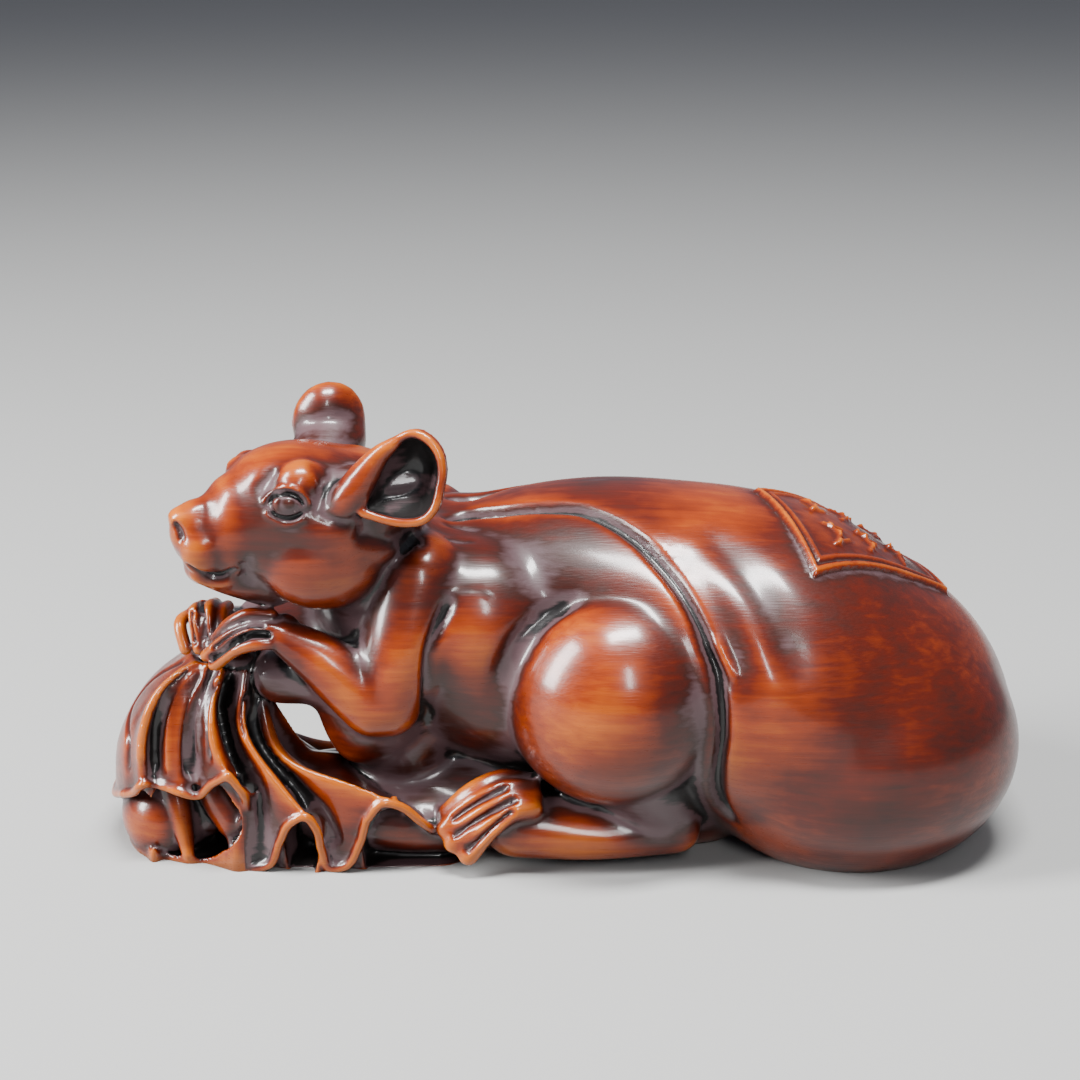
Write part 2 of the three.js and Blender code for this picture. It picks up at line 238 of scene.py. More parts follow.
# The bag and the rat's trunk
bagSizes = {
    "fullEnd": [(31.4, -5.5, 11.8, 14.8, 18.6), (31.4, 5.5, 11.8, 14.8, 18.6)],
    "back": [
        (-12, 3, 28.2, 10.5, 8.9),
        (-3, 1, 26.6, 14.5, 12.8),
        (8, 0.5, 23.8, 18.6, 15.7),
        (20, 0, 19.6, 21.5, 18),
        (31, 0, 13.5, 21.5, 17.5),
    ],
    "neck": [(-8, 4, 27, 8.5, 7.5), (-18, 8.5, 27.5, 6.5, 6), (-27, 8, 25, 4.6, 4.6), (-34, 1, 22, 4, 3.6)],
    "softening": 30,
}
trunkSizes = {
    "chest": [
        (-16, -2.5, 24.5, 11.8, 12.2),
        (-8, -1, 22.5, 15, 14),
        (2, 0, 21, 17.2, 15),
        (12, 0, 20, 17.5, 14.5),
    ],
    "throat": [(-24, -8.5, 35, 6.5, 6.5), (-16, -3.5, 27.5, 10.3, 9.3)],
    "shoulder": ((-9.5, -8.4, 26), (10, 8.4, 9.5)),
    "belly": [(-14, -1, 5, 11, 7.5), (14, 0, 6, 12, 8)],
    "lap": [(-30.5, -1, 22, 8.5, 4.4), (-21, -1, 23.5, 9, 6)],
    "underArm": [(-30.5, -10.3, 20.8, 3.2, 3.2), (-26.2, -10.6, 20.9, 3.6, 3.5), (-20.5, -9, 17, 5.4, 7)],
    "breast": ((-17.6, -1, 12.6), (7.4, 10.5, 9)),
    "apron": [(-26, -4.6, 4.4, 7.4, 4.9), (-18, -5.4, 4.2, 9, 4.9), (-10, -5, 4, 9, 4.7)],
    "softening": 30,
    "rounding": 6,
}


def makeBody():
    fullEnd = limb(bagSizes["fullEnd"], up=(1, 0, 0), around=64, along=6, caps=20)
    back = limb(bagSizes["back"], around=64, along=40, caps=12)
    neck = limb(bagSizes["neck"])
    bag = fused([fullEnd, back, neck], carving["bodyVoxel"], bagSizes["softening"], "bag")
    chest = limb(trunkSizes["chest"], around=64, along=40, caps=12)
    shoulder = ball(*trunkSizes["shoulder"])
    trunk = [chest, limb(trunkSizes["throat"]), shoulder, mirrorCopy(shoulder)]
    trunk = fused(trunk, carving["bodyVoxel"], trunkSizes["softening"], "trunk")
    underArm = limb(trunkSizes["underArm"])
    under = [limb(trunkSizes["belly"]), limb(trunkSizes["lap"])]
    under += [ball(*trunkSizes["breast"]), limb(trunkSizes["apron"]), underArm, mirrorCopy(underArm)]
    return fused([bag, trunk] + under, carving["trunkVoxel"], trunkSizes["rounding"], "body")


# Legs, hands and feet
legSizes = {
    "thigh": ((5.7, -11.4, 19.2), (12.4, 12, 12.2), (0, -8, 0)),
    "shank": [(6.5, -12.5, 15, 8.5, 8.5), (11.5, -12.6, 5.6, 3.4, 3.4)],
    "foot": [(12, -12.6, 4, 3, 2.6), (3, -12.8, 4.1, 4, 3), (-5, -12, 4.9, 4.8, 3.9)],
    "toes": [                          # from the lowest, at the front
        ((-3.4, -15.6, 7.6), (-5.6, -16.2, 7.4), (-8, -17, 5.8), (-10.4, -16.4, 2.4)),
        ((-3.4, -14.6, 8.4), (-5.6, -15.2, 8.4), (-8.8, -16.2, 6.9), (-12, -15.8, 3.6)),
        ((-3.6, -13.6, 9), (-5.8, -14.2, 9.2), (-9.3, -15.2, 7.9), (-12.8, -15, 4.9)),
        ((-4, -12.2, 9.2), (-6.6, -12.8, 9.8), (-9.7, -13.8, 8.9), (-12.6, -13.8, 6.2)),
    ],
    "toeSize": (1.05, 1.15),
    "footUp": (0, -0.35, 1),
    "footSoftening": 6,
    "softening": 4,
}
armSizes = {
    "upper": [(-15.6, -10, 31, 5.6, 6), (-17.2, -12.8, 24.5, 4.9, 5), (-19, -14, 19.2, 4, 3.9)],
    "fore": [(-20.3, -14.4, 19, 3.6, 3.6), (-25, -14.6, 23.4, 2.9, 3.1), (-29.8, -14.2, 26.6, 2.3, 1.9)],
    "farFore": [(-20.3, 14.4, 19.4, 3.6, 3.6), (-26, 13.6, 20.9, 2.9, 2.9), (-31.5, 10, 20.8, 2.5, 2.2)],
    "softening": 6,
}
handSizes = {
    "nearPalm": [(-29.5, -13.4, 26.8, 1.5, 1.9), (-33.5, -12.6, 26.2, 1.5, 1.6)],
    "farPalm": [
        (-31, 10.6, 20.9, 2.4, 2.1),
        (-36, 5, 21.6, 2.4, 1.9),
        (-38.8, -1, 24.4, 2.5, 1.4),
        (-38.7, -4.6, 26.2, 2.4, 1.1),
    ],
    "fingers": [
        ((-30.2, -15.5, 26.2), (-32.5, -15.8, 26.1), (-34.2, -15.4, 25.5), (-37, -13.8, 23.1)),
        ((-30.4, -15.1, 27.5), (-33, -15.2, 27.5), (-34.8, -14.7, 26.7), (-38, -12.7, 23.8)),
        ((-30.8, -14, 28.7), (-33.3, -14, 28.8), (-35.3, -13.3, 27.6), (-36.9, -12.2, 25.5)),
        ((-36.4, -6.6, 27.3), (-36.7, -9.4, 27.4), (-36.6, -10.8, 25.6)),
        ((-37.8, -6, 27.4), (-38, -9.8, 27.9), (-37.8, -11.4, 24.4)),
        ((-39.3, -5.6, 27), (-39.6, -9.4, 27.4), (-39, -11, 24)),
        ((-40.6, -5.2, 26), (-41.3, -8.8, 25.9), (-40.6, -10.2, 23.7)),
    ],
    "fingerSize": (0.72, 0.72),
}


def makeLeg():
    thigh = ball(*legSizes["thigh"], around=72)
    foot = [limb(legSizes["foot"], up=legSizes["footUp"]), limb(legSizes["shank"], up=(0, 1, 0))]
    foot = fused(foot, carving["limbVoxel"], legSizes["footSoftening"], "foot")
    leg = fused([thigh, foot], carving["limbVoxel"], legSizes["softening"], "leg")
    toes = [limb([spot + legSizes["toeSize"] for spot in toe], around=20, along=18, caps=5)
            for toe in legSizes["toes"]]
    return [leg] + toes


def makeArms():
    upper = limb(armSizes["upper"], up=(0, 1, 0))
    farUpper = mirrorCopy(upper)
    near = fused([upper, limb(armSizes["fore"])], carving["limbVoxel"], armSizes["softening"], "nearArm")
    far = fused([farUpper, limb(armSizes["farFore"])], carving["limbVoxel"], armSizes["softening"], "farArm")
    return [near, far]


def makeHands():
    pieces = [limb(handSizes["nearPalm"]), limb(handSizes["farPalm"])]
    for finger in handSizes["fingers"]:
        pieces.append(limb([spot + handSizes["fingerSize"] for spot in finger], around=16, along=16, caps=4))
    return pieces


# The head, in a frame of its own: nose towards -x, its near side towards -y
headSizes = {
    "centre": (-25.5, -9, 38.2),
    "turn": 22,
    "roll": 4,
    "cranium": [
        (2.4, 0, -0.4, 8.8, 7.6),
        (-2, 0, -0.2, 8.9, 8.4),
        (-6.5, 0, -0.1, 6.8, 8),
        (-9.8, 0, -0.3, 5.1, 6),
        (-12, 0, -0.3, 4.1, 4.9),
        (-13.6, 0, -0.1, 2.7, 3.4),
    ],
    "nose": ((-15.3, 0, 1.4), (1.5, 1.7, 1.2)),
    "lip": ((-13.4, -1.6, -1.7), (2.6, 2.1, 2.7)),
    "jaw": [(-13.1, 0, -4.2, 2.3, 2), (-10.4, 0, -5, 3.1, 2.6), (-6.4, 0, -5.5, 4.4, 3.9)],
    "cheek": ((-0.8, -4, -2.8), (7.4, 5, 6)),
    "brow": ((-3.8, -4.7, 5.3), (3, 2.5, 2.7)),
    "farBrow": ((-7, 4, 4.6), (2.6, 2, 2.2)),
    "eye": ((-5, -6.1, 4), (2.4, 1.3, 1.7)),
    "temple": [
        (-0.8, -6.8, 2.8, 1.9, 1.9),
        (0.4, -7.9, 4.8, 1.9, 1.9),
        (1.8, -8.3, 7, 1.6, 1.6),
        (3.2, -8.9, 9.2, 1.1, 1.1),
        (4.8, -9.6, 10.7, 0.7, 0.7),
    ],
    "softening": 7,
}
headPlace = Matrix.Translation(headSizes["centre"]) @ Euler(
    (math.radians(headSizes["roll"]), 0, math.radians(headSizes["turn"])), "XYZ").to_matrix().to_4x4()
# An ear is a cup: the way from its rim to its back, how deep it is, its wall, the bead on its rim, and
# what joins it to the head. The near rim is a round in the picture, from its corner on the head, and
# lies in a plane; the far rim is an oval.
nearEar = {
    "rim": [
        (361, 512), (369, 484), (378, 464), (388, 449), (400, 438), (414, 433.5), (428, 440), (438, 453),
        (442, 470), (440, 490), (434, 508), (424, 520), (407, 523), (385, 520), (370, 515),
    ],
    "plane": ((-17.3, -17.8, 43.3), (-0.2, -0.95, 0.2)),
    "back": (0.54, 0.81, -0.2),
    "depth": 3.6,
    "wall": 1.1,
    "bead": 0.5,
    "root": ((0.5, -4.5, 3.4, 3, 3.4), (8, -6.5, 5, 2.4, 2.4)),
}
farEar = {
    "centre": (4.1, 11.6, 6.6),
    "half": (3.7, -0.4, 4.1),
    "points": 15,
    "back": (-0.2, -0.9, 0.36),
    "depth": 2.6,
    "wall": 1,
    "bead": 0.45,
    "root": ((0.5, 5.5, 2.6, 3.4, 3), (4, 10.4, 5, 3.9, 3.5)),
    "backs": [((4.1, 10.7, 5.7), (3.9, 3, 4.3)), ((3.8, 9.9, 3), (3.9, 3.4, 4.2))],
    "softening": 5,
}


def nearEarRim():
    spots = [metPlane(place, *nearEar["plane"]) for place in nearEar["rim"]]
    return [tenths(headPlace.inverted() @ spot) for spot in spots]


def farEarRim():
    (x, y, z), (long, lean, high) = farEar["centre"], farEar["half"]
    angles = np.linspace(0, 2 * math.pi, farEar["points"] + 1)[:-1]
    return [(x + long * math.cos(a), y + lean * math.cos(a), z + high * math.sin(a)) for a in angles]


# How finely an ear is made, how its cup curves, how its outside flares, and how small its middle is
earShape = {"rounds": 72, "rings": 14, "curve": 2.4, "flare": 0.1, "middle": 0.02, "beadSides": 12}


def makeEar(rimSpots, earSizes):
    rounds, rings = earShape["rounds"], earShape["rings"]
    rim, _ = smoothPath(rimSpots + rimSpots[:1], np.linspace(0, 1, rounds, endpoint=False))
    middle = rim.mean(0)
    back = unit(np.array(earSizes["back"], float))
    spots, faces = [], []
    for layer in (0, 1):               # the inside of the cup, then its outside
        for r in range(rings + 1):
            s = r / rings
            sag = earSizes["depth"] * (1 - s ** earShape["curve"]) + layer * earSizes["wall"]
            flare = 1 + layer * earShape["flare"] * s
            spots.append(middle + (rim - middle) * max(s, earShape["middle"]) * flare + back * sag)
    spots = np.array(spots)
    total = 2 * (rings + 1)
    for r in range(total - 1):
        if r == rings:
            continue
        for j in range(rounds):
            n = (j + 1) % rounds
            faces.append((r * rounds + j, r * rounds + n, (r + 1) * rounds + n, (r + 1) * rounds + j))
    for j in range(rounds):
        n = (j + 1) % rounds
        inner, outer = rings * rounds, (total - 1) * rounds
        faces.append((inner + j, inner + n, outer + n, outer + j))
    faces.append(tuple(range(rounds)))
    faces.append(tuple(range((rings + 1) * rounds, (rings + 2) * rounds)))
    ear = meshPiece("ear", spots.reshape(-1, 3), faces)
    bead = []                          # a rolled bead along the rim
    for i in range(rounds + 1):
        spot = rim[i % rounds]
        ahead = unit(rim[(i + 1) % rounds] - rim[i % rounds - 1])
        side = unit(np.cross(ahead, back))
        bead.append([spot + earSizes["bead"] * (side * math.cos(a) + back * math.sin(a))
                     for a in np.linspace(0, 2 * math.pi, earShape["beadSides"], endpoint=False)])
    return [ear, skinOver(bead, "earBead"), limb(earSizes["root"])]


def makeHead():
    soft = [limb(headSizes["cranium"], around=48, along=30), ball(*headSizes["nose"]), limb(headSizes["jaw"])]
    for part in ("cheek", "lip"):
        soft.append(ball(*headSizes[part]))
        soft.append(mirrorCopy(soft[-1]))
    soft += [ball(*headSizes["brow"]), ball(*headSizes["farBrow"]), limb(headSizes["temple"])]
    eye = ball(*headSizes["eye"])
    pieces = [fused(soft, carving["headVoxel"], headSizes["softening"], "head"), eye, mirrorCopy(eye)]
    pieces += makeEar(nearEarRim(), nearEar)
    back = [ball(*size) for size in farEar["backs"]]
    far = makeEar(farEarRim(), farEar) + back
    pieces.append(fused(far, carving["earVoxel"], farEar["softening"], "farEar"))
    return [placed(piece, headPlace) for piece in pieces]


# The gathered mouth of the bag. One line for each rib, from the far side round the left end to the near
# side: where it leaves the hands, two places on its way, and the hem. The far ribs are in millimetres;
# the near ones are measured in the picture, each place across, down, and its y in millimetres.
farRibs = [
    ((-14, 8, 7), (-14, 9, 6.4), (-14, 10.5, 4.8), (-14, 12, 3)),
    ((-28.5, 7, 5), (-26.5, 8.6, 5.2), (-24, 10.4, 5), (-22, 12, 3.5)),
    ((-33.5, 6, 9), (-33, 8, 8), (-31.5, 9.5, 5), (-30, 11, 1)),
    ((-37.6, 3.5, 18.6), (-38.6, 6.6, 14.6), (-38.4, 9.6, 10.5), (-37, 12.4, 6)),
    ((-39.4, 1.5, 20.8), (-42.6, 4.5, 17), (-44.4, 7, 10.5), (-44, 8.6, 3)),
    ((-40.6, -1.5, 21.6), (-45.4, -0.5, 17.6), (-48, 1.2, 12.4), (-48.8, 2, 6.5)),
]
nearRibs = [
    ((190, 648, -4.5), (141, 690, -5), (119, 735, -5), (116, 790, -5)),
    ((191, 652, -7.5), (145, 697, -9.2), (124, 740, -10), (124, 794, -10.5)),
    ((194, 658, -9.4), (151, 697, -11), (133, 737, -11.8), (134, 792, -12.4)),
    ((197, 661, -10.4), (161, 694, -12.8), (143, 735, -13.6), (144, 784, -14)),
    ((202, 662, -10.4), (170, 700, -11.9), (154, 740, -12.5), (153, 784, -13.2)),
    ((206, 662, -10.8), (180, 702, -12.3), (167, 745, -13.2), (166, 787, -13.8)),
    ((210, 663, -11), (189, 704, -12.7), (181, 745, -13.6), (180, 792, -14.4)),
    ((215, 664, -10.7), (199, 705, -11.7), (195, 745, -12.5), (196, 796, -14.2)),
    ((219, 666, -11), (206, 706, -12.8), (203, 745, -13.9), (212, 784, -15.4)),
    ((222, 667, -11.7), (211, 706, -14.3), (211, 745, -15.6), (228, 775, -16.5)),
    ((226, 670, -11.3), (216, 709, -13.8), (221, 749, -15.2), (243, 793, -16)),
    ((229, 669, -10.2), (221, 719, -11.2), (235, 766, -12.4), (247, 806, -14.8)),
    ((231, 668, -10.2), (223, 721, -11.2), (238, 772, -12.3), (242, 822, -13.8)),
    ((232, 668, -10.3), (224, 723, -11.4), (240, 780, -12.4), (230, 835, -12.8)),
    ((234, 667, -10.4), (226, 725, -11.6), (243, 788, -12.6), (238, 855, -13.8)),
    ((236, 667, -10.6), (230, 728, -12), (249, 790, -13), (252, 867, -14.6)),
    ((238, 667, -10.8), (234, 729, -12.6), (256, 790, -13.6), (268, 865, -15)),
    ((241, 667, -11), (237, 730, -13.4), (261, 784, -14.6), (280, 842, -15.6)),
    ((244, 667, -11.4), (240, 730, -14.1), (265, 776, -15.6), (290, 823, -16.4)),
    ((247, 667, -11.5), (245, 731, -14.3), (277, 781, -15.9), (305, 817, -16.8)),
    ((251, 668, -10.8), (250, 733, -13.2), (286, 787, -14.9), (316, 829, -16.3)),
    ((254, 669, -10.2), (254, 735, -12.2), (292, 791, -13.7), (321, 848, -15.6)),
    ((257, 671, -9.8), (258, 737, -11.9), (298, 793, -13.3), (330, 868, -15)),
    ((260, 674, -9.7), (262, 739, -12), (305, 792, -13.8), (345, 866, -15.3)),
    ((263, 679, -9.8), (266, 741, -12.6), (312, 789, -14.7), (359, 845, -15.8)),
    ((265, 688, -9.8), (272, 745, -13.1), (320, 785, -15.4), (366, 820, -16.3)),
    ((267, 700, -9.8), (283, 752, -13.2), (333, 780, -15.6), (384, 803, -16.6)),
    ((274, 738, -10.4), (303, 765, -13.4), (352, 785, -15.4), (400, 806, -16.3)),
    ((303, 766, -11.4), (345, 785, -14), (384, 797, -15.3), (420, 821, -15.6)),
    ((335, 775, -11.6), (375, 793, -13.6), (405, 807, -14.5), (432, 829, -14.6)),
    ((372, 786, -11.4), (400, 801, -13), (422, 815, -13.7), (441, 832, -13.4)),
]


def ribInSpace(rib):
    spots = [metPlane((across, down), (0, y, 0), (0, -1, 0)) for across, down, y in rib]
    return tuple(tenths(spot) for spot in spots)


ribs = farRibs + [ribInSpace(rib) for rib in nearRibs]
clothSizes = {
    "wall": 1.3,
    "lipDrop": 0.3,
    "rim": 0.5,
    "rimRibs": 4,           # ribs along each length of rim
    "farEnd": 5,            # the last of the far ribs
    "rows": 6,              # rows of points for each rib
    "across": 18,           # points along a rib
    "voxel": 0.28,
    "low": -2,              # its foot goes below the floor, where it is cut off
    "heartFar": -3,         # the y of its heart, in its far part and in its near part
    "heartNear": 0.5,
    "heartRight": 6,        # the heart lies this far right of the hem
    "heartEnds": (-38, -15),
    "heartHeight": 6.8,
    "inward": 0.25,         # its inner edge lies this share of the way to the heart,
    "inwardDrop": 0.8,      # this far below the rib's top
    "inwardTop": 11,        # and no higher than this
    "throat": (-36, -3, 18),    # at the left end it closes up at this place instead
    "throatFrom": 3,
    "throatRise": 1.5,
    "throatTo": 20,
    "throatFall": 5,
}
# The hollows behind the hem, cut out of the cloth: across the fold, then inwards
hollows = [
    [(-44.4, -9.8, 4.6, 3.8, 4.4), (-41.5, -10.2, 4.8, 4.4, 5), (-39.4, -10.8, 4.8, 4.6, 4.8),
        (-37.9, -12.3, 5.8, 4.2, 4.4)],
    [(-28.5, -17.5, 2, 1.8, 3.8), (-28.3, -13.8, 2.6, 1.8, 3.8), (-28, -11.6, 2.6, 1.3, 3)],
    [(-18.6, -17.5, 1.9, 3.2, 5.2), (-18.3, -13.5, 2.2, 3.4, 5), (-18, -11, 2, 2.8, 4)],
    [(-15.6, -17, 1, 1.9, 3.6), (-15.2, -12, 1.2, 1.9, 3)],
]
foldsInside = {
    "lobe": ((-43.6, -6.3, 3.6), (5.4, 6.2, 5.4)),
    "tongue": [(-42.6, -9.4, 8.4, 1.9, 2), (-42, -10.8, 5.6, 1.5, 1.7), (-40.9, -12.7, 1, 0.7, 0.8)],
    "inner": [(-38.4, -8.6, 9, 2.4, 2.6), (-37, -9.9, 6.4, 2.6, 2.8), (-35.6, -11.4, 4.6, 2.4, 2.4)],
    "back": [(-40, -8, 8, 2.4, 2), (-39.4, -8.6, 3.4, 2, 2)],
    "gather": [(-38, -7.4, 22.6, 1.8, 1.6), (-33.6, -8.6, 20.4, 1.7, 1.8), (-32.6, -8.4, 16.8, 1.2, 1.6)],
    "base": [(-42, -6.6, -0.6, 5.6, 1.2), (-30, -7, -0.6, 8, 1.2), (-14, -6, -0.6, 9, 1.2)],
}


def clothPart(first, last, heartY, name):
    lines = np.array([[value for spot in rib for value in spot] for rib in ribs], float)
    count = (last - first) * clothSizes["rows"] + 1
    where = np.linspace(first, last, count) / (len(ribs) - 1)
    places, _ = smoothPath(lines, where)
    rows = []
    for place, f in zip(places, where * (len(ribs) - 1)):
        path, _ = smoothPath(place.reshape(4, 3), np.linspace(0, 1, clothSizes["across"]))
        hem = path[-1]
        heartX = np.clip(hem[0] + clothSizes["heartRight"], *clothSizes["heartEnds"])
        heart = np.array([heartX, heartY, clothSizes["heartHeight"]])
        out = hem - heart
        out[2] = 0
        out = unit(out)
        lip = hem - out * clothSizes["wall"] / 2 - np.array([0, 0, clothSizes["lipDrop"]])
        under = hem - out * clothSizes["wall"]
        foot, ground = under.copy(), heart.copy()
        foot[2] = ground[2] = clothSizes["low"]
        left = np.clip((f - clothSizes["throatFrom"]) / clothSizes["throatRise"], 0, 1)
        left *= np.clip((clothSizes["throatTo"] - f) / clothSizes["throatFall"], 0, 1)
        inside = path[0] + (heart - path[0]) * clothSizes["inward"]
        inside[2] = min(path[0][2] - clothSizes["inwardDrop"], clothSizes["inwardTop"])
        inside = inside * (1 - left) + np.array(clothSizes["throat"]) * left
        rows.append(np.vstack([path, lip, under, foot, ground, heart, inside]))
    return skinOver(rows, name)


def hemRim():                          # a rounded rim all along the hem
    hems = [rib[3] + (clothSizes["rim"], clothSizes["rim"]) for rib in ribs[3:]]
    step = clothSizes["rimRibs"]
    pieces = []
    for first in range(0, len(hems) - 1, step):
        pieces.append(limb(hems[first:first + step + 1], around=12, along=40, caps=4))
    return pieces


def makeCloth():
    far = clothPart(0, clothSizes["farEnd"] + 1, clothSizes["heartFar"], "farCloth")
    near = clothPart(clothSizes["farEnd"], len(ribs) - 1, clothSizes["heartNear"], "nearCloth")
    cloth = fused([far, near], clothSizes["voxel"], 1, "cloth")
    for stations in hollows:
        hollow = limb(stations)
        applied(cloth, "BOOLEAN", operation="DIFFERENCE", object=hollow, solver="MANIFOLD")
        bpy.data.objects.remove(hollow)
    pieces = [cloth, ball(*foldsInside["lobe"]), limb(foldsInside["base"])]
    for part in ("tongue", "inner", "back", "gather"):
        pieces.append(limb(foldsInside[part], up=(0, 1, 0)))
    return pieces + hemRim()


# All of it as one carving. Two creases are eased on each side: place, reach, rounds
creases = {"shoulder": ((-9, 14, 27), 8, 80), "haunch": ((14, 15, 26), 7, 60)}
floorBlock = (160, 80, 10)             # what lies below the floor is cut off


def easeBothSides(piece, place, reach, rounds):
    x, y, z = place
    for side in (-1, 1):
        softened(piece, (x, y * side, z), reach, rounds)


body = makeBody()
print("body shaped")
legs = makeLeg()
legs += [mirrorCopy(piece) for piece in legs]
body = fused([body] + makeArms(), carving["joinVoxel"], carving["armSoftening"], "body")
easeBothSides(body, *creases["shoulder"])
body = fused([body] + legs, carving["joinVoxel"], carving["legSoftening"], "body")
easeBothSides(body, *creases["haunch"])
print("legs and arms joined")
rat = fused([body] + makeHead() + makeHands() + makeCloth(), carving["finalVoxel"], 1, "ratCarving")
bpy.ops.mesh.primitive_cube_add(size=1, location=(0, 0, -floorBlock[2] / 2), scale=floorBlock)
below = bpy.context.object
applied(rat, "BOOLEAN", operation="DIFFERENCE", object=below, solver="MANIFOLD")
bpy.data.objects.remove(below)
print("carving joined", len(rat.data.polygons))


def ringAt(across, down, radius, count=9):
    angles = np.linspace(0, 2 * math.pi, count)
    return [(across + radius * math.cos(a), down + radius * math.sin(a)) for a in angles]


# Strokes of the knife: half width, depth (a ridge is below zero) and taper, then the path in the picture
faceStrokes = [
    (0.4, -0.42, 0.8, [(262, 507), (268, 497), (277, 490), (287, 488), (298, 491), (306, 499),
        (311, 510)]),  # lid
    (0.28, 0.55, 0.8, [(267, 505), (273, 498), (280, 494), (289, 493), (297, 496), (303, 502),
        (305, 508)]),  # lidGap
    (0.38, -0.32, 0.8, [(263, 508), (269, 515), (278, 521), (288, 524), (299, 521), (307, 514)]),  # lower
    (0.25, 0.42, 0.8, [(268, 510), (277, 516), (288, 518.5), (298, 516), (304, 511)]),  # lowerGap
    (0.8, 0.22, 1.5, [(304, 461), (317, 469), (323, 486), (322, 504), (315, 516)]),  # brow
    (0.8, 0.35, 1.5, [(258, 500), (262, 487), (270, 476), (281, 466)]),  # browFront
    (0.45, 0.22, 1.2, [(310, 511), (320, 516), (335, 520), (352, 522)]),  # corner
    (0.42, 0.62, 0.6, [(172, 522), (176, 527), (180, 534), (180, 543)]),  # nostril
    (0.22, 0.12, 0.3, ringAt(289, 504, 8)),  # pupil
    (0.32, 0.6, 1.2, [(184, 562), (192, 569), (200, 573), (211, 575.5), (222, 575.5), (231, 572),
        (238, 567)]),  # mouth
    (0.5, -0.3, 1.2, [(188, 571), (197, 579), (210, 584), (225, 584), (237, 578)]),  # lowLip
    (0.45, 0.28, 0.8, [(240, 561), (244, 571), (242, 582)]),  # mouthEnd
    (0.9, 0.35, 1.5, [(247, 550), (250, 570), (248, 592)]),  # cheekFold
    (0.8, 0.1, 1.5, [(190, 520), (205, 512), (222, 508)]),  # snoutSide
]
strokes = [
    (1.4, 0.8, 2, [(352, 526), (372, 536), (400, 540), (425, 534)]),  # underEar
    (0.3, 0.8, 0.6, [(272, 635), (250, 635), (239, 640), (224, 650), (209, 661)]),  # fingerAB
    (0.3, 0.7, 0.6, [(268, 626), (250, 625), (236, 630), (222, 641), (211, 650)]),  # fingerBC
    (0.3, 0.6, 0.5, [(205, 600), (203, 618), (205, 642)]),  # fingerDE
    (0.3, 0.6, 0.5, [(193, 608), (190, 625), (195, 646)]),  # fingerEF
    (0.7, 0.7, 2.5, [(455, 591), (440, 621), (429, 653), (427, 688), (428, 728)]),  # armBack
    (0.35, 0.08, 1, [(457, 592), (478, 590), (496, 600)]),  # arc
    (1.3, 0.7, 4, [(500, 700), (503, 669), (515, 645), (537, 621), (564, 605), (590, 594)]),  # haunch
    (0.4, 0.7, 1, [(463, 853), (490, 830), (516, 808)]),  # toe1
    (0.4, 0.7, 1, [(450, 838), (485, 815), (519, 797)]),  # toe2
    (0.4, 0.7, 1, [(448, 821), (480, 800), (510, 785)]),  # toe3
    (0.5, 0.9, 1.5, [(228, 676), (221, 700), (222, 720), (228, 745), (236, 770), (242, 788)]),  # fold1
    (0.3, 0.5, 1, [(250, 690), (243, 702), (239, 716), (241, 728), (245, 740)]),  # fold2
    (0.9, 0.5, 2, [(251, 705), (253, 728), (262, 748), (279, 770), (300, 790), (320, 808),
        (333, 835), (336, 852)]),  # fold3
    (0.5, -0.35, 1.5, [(192, 662), (168, 682), (152, 702), (143, 735), (141, 768)]),  # pleat1
    (0.45, 0.45, 1.5, [(195, 664), (168, 690), (158, 715), (155, 750), (157, 776)]),  # pleat2
    (0.5, -0.3, 1.5, [(199, 666), (180, 690), (171, 715), (168, 750), (170, 780)]),  # pleat3
    (0.6, 0.5, 1.5, [(204, 668), (192, 690), (186, 720), (185, 755), (188, 782)]),  # pleat4
    (0.45, -0.25, 1.5, [(210, 668), (202, 690), (198, 720), (199, 760)]),  # pleat5
    (0.4, 0.4, 1.5, [(216, 670), (208, 700), (206, 735), (211, 764)]),  # pleat6
    (0.4, 0.4, 1.5, [(186, 660), (152, 680), (133, 705), (128, 740), (129, 775)]),  # pleat7
    (2.2, 0.6, 6, [(650, 535), (700, 575), (733, 640), (745, 705)]),  # bag1
    (2.2, 0.5, 6, [(695, 520), (765, 600), (808, 690)]),  # bag2
    (2, -0.3, 6, [(650, 520), (730, 600), (770, 680), (790, 725)]),  # bag3
    (0.8, -0.3, 2, [(708, 631), (722, 655), (740, 685)]),  # bag5
    (0.5, 0.22, 2, [(700, 640), (718, 668), (735, 697)]),  # bag4
    (0.5, 0.25, 2, [(437, 520), (460, 527), (484, 530)]),  # streak1
    (0.5, 0.25, 2, [(440, 535), (462, 541), (480, 542)]),  # streak2
]
gutter = (0.75, 1.15, 3, [(440, 517), (464, 515), (507, 509.5), (550, 507), (582, 509.5), (609, 520),
        (636, 538), (657, 559), (676, 583), (692, 610), (705, 640), (716, 674), (721, 709),
        (721, 741), (717, 768), (717, 795), (724, 811), (737, 827)])
# The patch: its corners from above, its height at depths in from its edge, the places of its marks as
# shares of its sides, and the half width, depth and taper of a mark's bars
patch = {
    "corners": [(21, 2), (26, -12.8), (42, -1.2), (37, 14)],
    "depths": [-0.25, 0.1, 0.5, 0.72, 0.95, 1.15, 1.45, 1.75],
    "rises": [0, 0.62, 0.62, 0.3, 0.3, 0.52, 0.52, 0.28],
    "marks": [(0.3, 0.3), (0.3, 0.7), (0.52, 0.3), (0.52, 0.7), (0.74, 0.3), (0.74, 0.7)],
    "mark": (0.28, -0.32, 0.3),
    "above": 20,            # only skin above this height, and facing up more than this, is raised
    "facing": 0.1,
    "bars": 4,              # in each mark
    "barTurn": 45,          # from bar to bar, and from mark to mark
    "markTurn": 17,
    "barGap": 0.9,
    "barBack": (1.3, 0.25),     # how far a bar goes back and on from its middle, and what is added in turn
    "barOn": (1.1, 0.2),
    "over": 60,             # well over the figure
}
